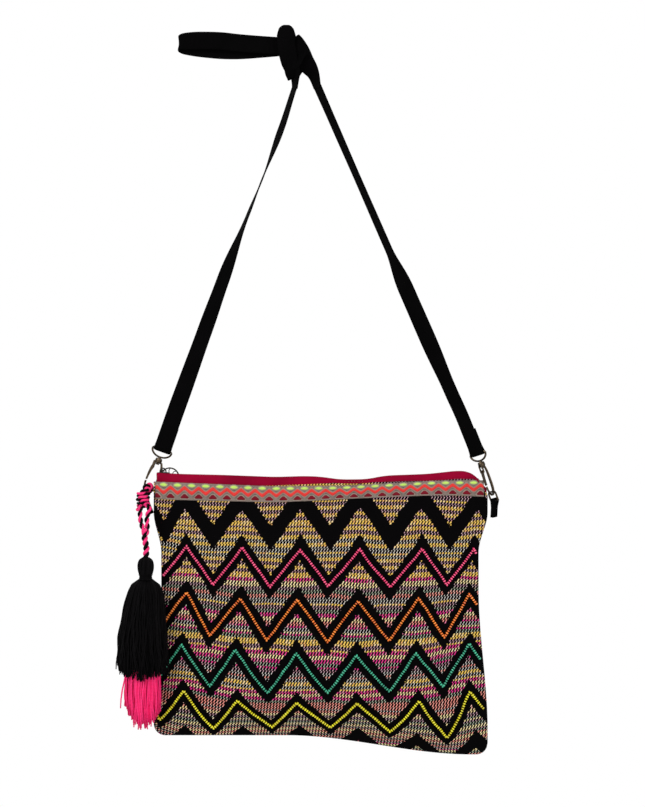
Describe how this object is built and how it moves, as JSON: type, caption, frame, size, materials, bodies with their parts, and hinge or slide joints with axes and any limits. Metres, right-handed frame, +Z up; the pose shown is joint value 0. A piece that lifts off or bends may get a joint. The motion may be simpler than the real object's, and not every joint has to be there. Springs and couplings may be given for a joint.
{
  "type": "crossbody bag",
  "caption": "Flat zip-top crossbody bag of striped woven cloth with black chevron bands, bead rows, clip-on webbing strap and a side tassel, hanging by its strap.",
  "frame": {"origin": "the point inside the strap's knot where the bag hangs", "axes": "+Z up along the hanging strap, +X to the right as the front is seen, +Y towards the back of the bag"},
  "size_m": [0.328, 0.0424, 0.6265],
  "materials": {
    "ground_cloth": "hand-woven cotton with mustard, pink, white and black yarns",
    "lining": "plain black cotton twill",
    "zip_tape": "crimson woven tape",
    "zip_teeth": "antique metal teeth",
    "zip_metal": "antique bronze plating",
    "trim": "taupe woven ribbon",
    "trim_thread": "bright red embroidery thread",
    "chevron": "black woven bands",
    "beads_pink": "pink glass seed beads",
    "beads_orange": "orange glass seed beads",
    "beads_green": "teal green glass seed beads",
    "beads_yellow": "yellow glass seed beads",
    "tab": "black woven cotton",
    "hardware": "antique bronze plating with rubbed edges",
    "webbing": "black polyester webbing",
    "tassel_cord": "twisted pink and black cord",
    "tassel_black": "black rayon yarn",
    "tassel_pink": "hot pink rayon yarn"
  },
  "bodies": {
    "bag": {"front_panel": "ground_cloth", "back_panel": "ground_cloth", "lining_pouch": "lining", "zip_tape_front": "zip_tape", "zip_tape_back": "zip_tape", "zip_teeth_front": "zip_teeth", "zip_teeth_back": "zip_teeth", "zip_stop_closed": "zip_metal", "zip_stop_open": "zip_metal", "trim_ribbon": "trim", "trim_zigzag": "trim_thread", "chevron_band_1": "chevron", "chevron_band_2": "chevron", "chevron_band_3": "chevron", "chevron_band_4": "chevron", "chevron_band_5": "chevron", "chevron_band_6": "chevron", "bead_row_pink": "beads_pink", "bead_row_orange": "beads_orange", "bead_row_green": "beads_green", "bead_row_yellow": "beads_yellow", "side_tab_left": "tab", "side_tab_right": "tab", "d_ring_left": "hardware", "d_ring_right": "hardware", "hook_body_left": "hardware", "hook_body_right": "hardware", "shoulder_strap": "webbing"},
    "slider": {"zip_slider": "zip_metal"},
    "pull": {"zip_pull": "zip_metal"},
    "eye_left": {"hook_eye_left": "hardware", "strap_end_left": "webbing"},
    "eye_right": {"hook_eye_right": "hardware", "strap_end_right": "webbing"},
    "gate_left": {"hook_gate_left": "hardware"},
    "gate_right": {"hook_gate_right": "hardware"},
    "tassel": {"tassel_cord": "tassel_cord", "tassel_head": "tassel_black", "tassel_skirt_black": "tassel_black", "tassel_skirt_pink": "tassel_pink"}
  },
  "joints": [
    {"name": "slider_travel", "type": "slide", "parent": "bag", "child": "slider", "axis": [1, 0, 0], "range_m": [0, 0.256]},
    {"name": "pull_lift", "type": "hinge", "parent": "slider", "child": "pull", "pos_m": [-0.1221, 0, -0.3411], "axis": [0, 1, 0], "range_deg": [-75, 0]},
    {"name": "eye_left_swivel", "type": "hinge", "parent": "bag", "child": "eye_left", "pos_m": [-0.12642, 0.00625, -0.33284], "axis": [0.3338, 0, 0.9426], "continuous": true},
    {"name": "eye_right_swivel", "type": "hinge", "parent": "bag", "child": "eye_right", "pos_m": [0.15182, 0, -0.33581], "axis": [-0.342, 0, 0.9397], "continuous": true},
    {"name": "gate_left_press", "type": "hinge", "parent": "bag", "child": "gate_left", "pos_m": [-0.13132, 0.00625, -0.33738], "axis": [0, 1, 0], "range_deg": [-20, 0], "stiffness_Nm_per_rad": 0.004, "springref_deg": 17.19},
    {"name": "gate_right_press", "type": "hinge", "parent": "bag", "child": "gate_right", "pos_m": [0.15225, -0.0026, -0.34195], "axis": [-0.7881, 0.5446, -0.2868], "range_deg": [-20, 0], "stiffness_Nm_per_rad": 0.004, "springref_deg": 17.19},
    {"name": "tassel_swing", "type": "hinge", "parent": "bag", "child": "tassel", "pos_m": [-0.1348, 0.00275, -0.3565], "axis": [0, 1, 0], "range_deg": [0, 75]}
  ]
}
